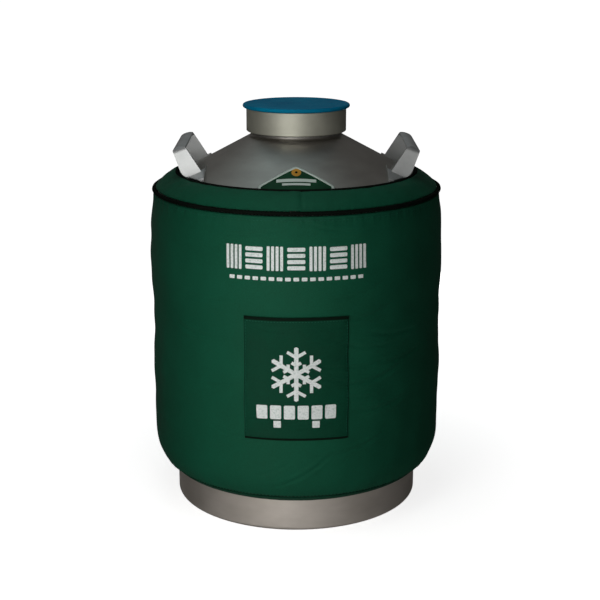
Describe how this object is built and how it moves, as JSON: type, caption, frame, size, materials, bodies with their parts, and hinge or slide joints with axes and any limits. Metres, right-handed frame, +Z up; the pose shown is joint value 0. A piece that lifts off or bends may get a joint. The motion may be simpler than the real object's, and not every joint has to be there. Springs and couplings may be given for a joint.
{
  "type": "liquid nitrogen storage vessel",
  "caption": "Wide-neck vacuum-insulated vessel for cryogenic storage, in a padded fabric jacket, with a lift-off plug lid, carrying handles and hooked sample canisters.",
  "frame": {"origin": "on the floor, under the vessel's axis", "axes": "+Z up along the vessel's axis, front with the pocket towards -Y, a handle at each end of X"},
  "size_m": [0.4871, 0.4926, 0.6706],
  "materials": {
    "bare_aluminium": "satin sheet",
    "turned_aluminium": "brushed",
    "handle_metal": "bright polished strap",
    "canister_metal": "satin",
    "neck_laminate": "glass-fibre laminate",
    "insulation": "crinkled foil and paper layers",
    "adsorbent": "bagged granules",
    "brass_fitting": "turned",
    "black_rubber": "matte",
    "plate_paint": "painted plate",
    "white_plastic": "moulded",
    "blue_plastic": "moulded",
    "plug_foam": "rigid foam",
    "jacket_fabric": "padded coated nylon",
    "pocket_fabric": "coated nylon",
    "black_webbing": "woven piping"
  },
  "bodies": {
    "vessel": {"base_ring": "bare_aluminium", "outer_bottom_head": "bare_aluminium", "outer_barrel": "bare_aluminium", "outer_cone": "bare_aluminium", "neck_collar": "turned_aluminium", "neck_tube": "neck_laminate", "neck_joint_ring": "turned_aluminium", "inner_bottom_head": "bare_aluminium", "inner_barrel": "bare_aluminium", "inner_top_head": "bare_aluminium", "insulation_blanket": "insulation", "adsorbent_tray": "adsorbent", "getter_cup": "brass_fitting", "vacuum_port": "turned_aluminium", "vacuum_plug": "brass_fitting", "vacuum_plug_seal": "black_rubber", "vacuum_cap": "black_rubber", "handle_left": "handle_metal", "handle_right": "handle_metal", "nameplate": "plate_paint", "rack_plate": "white_plastic", "rack_fins": "white_plastic", "index_ring": "white_plastic", "jacket_body": "jacket_fabric", "jacket_shoulder": "jacket_fabric", "jacket_piping": "black_webbing", "jacket_binding": "black_webbing", "jacket_hem": "jacket_fabric", "jacket_pocket": "pocket_fabric", "jacket_closure_flap": "jacket_fabric"},
    "lid": {"lid_cover": "blue_plastic", "plug_core": "plug_foam", "plug_sleeve": "neck_laminate"},
    "canister_set_1": {"canister_1": "canister_metal", "canister_rod_1": "canister_metal"},
    "canister_set_2": {"canister_2": "canister_metal", "canister_rod_2": "canister_metal"},
    "canister_set_3": {"canister_3": "canister_metal", "canister_rod_3": "canister_metal"},
    "canister_set_4": {"canister_4": "canister_metal", "canister_rod_4": "canister_metal"},
    "canister_set_5": {"canister_5": "canister_metal", "canister_rod_5": "canister_metal"},
    "canister_set_6": {"canister_6": "canister_metal", "canister_rod_6": "canister_metal"}
  },
  "joints": [
    {"name": "lid_lift", "type": "slide", "parent": "vessel", "child": "lid", "axis": [0, 0, 1], "range_m": [0, 0.24]},
    {"name": "canister_1_unhook", "type": "slide", "parent": "vessel", "child": "canister_set_1", "axis": [0, 0, 1], "range_m": [0, 0.008]},
    {"name": "canister_2_unhook", "type": "slide", "parent": "vessel", "child": "canister_set_2", "axis": [0, 0, 1], "range_m": [0, 0.008]},
    {"name": "canister_3_unhook", "type": "slide", "parent": "vessel", "child": "canister_set_3", "axis": [0, 0, 1], "range_m": [0, 0.008]},
    {"name": "canister_4_unhook", "type": "slide", "parent": "vessel", "child": "canister_set_4", "axis": [0, 0, 1], "range_m": [0, 0.008]},
    {"name": "canister_5_unhook", "type": "slide", "parent": "vessel", "child": "canister_set_5", "axis": [0, 0, 1], "range_m": [0, 0.008]},
    {"name": "canister_6_unhook", "type": "slide", "parent": "vessel", "child": "canister_set_6", "axis": [0, 0, 1], "range_m": [0, 0.008]}
  ]
}
